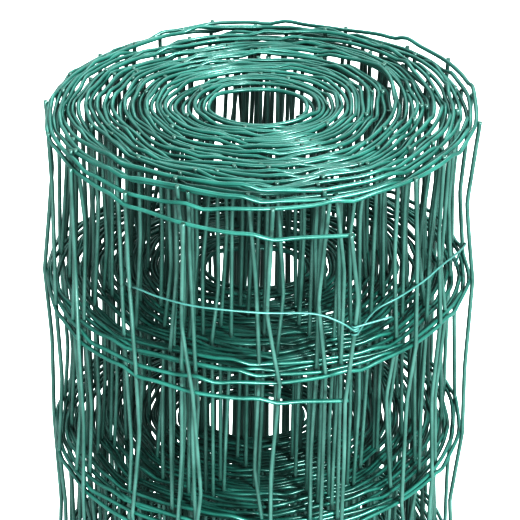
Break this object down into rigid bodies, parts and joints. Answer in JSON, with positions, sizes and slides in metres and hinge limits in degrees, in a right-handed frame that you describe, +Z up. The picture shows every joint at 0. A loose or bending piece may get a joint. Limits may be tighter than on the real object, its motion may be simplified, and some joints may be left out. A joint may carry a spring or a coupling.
{
  "type": "roll of welded wire fencing",
  "caption": "Green plastic-coated welded wire fencing wound into an upright roll, held by a thin tie wire round its outermost turn, for unrolling along fence posts.",
  "frame": {"origin": "centre of the lower end of the roll, on its axis, at floor level", "axes": "+Z up along the roll's axis; the free end of the fencing lies at the front, towards -Y and a little to +X; the fencing winds outwards counter-clockwise seen from above"},
  "size_m": [0.2395, 0.241, 1.004],
  "materials": {
    "fence_coating": "gloss",
    "tie_coating": "gloss"
  },
  "bodies": {
    "root": {"mesh_roll": "fence_coating", "tie_wire": "tie_coating"}
  },
  "joints": []
}
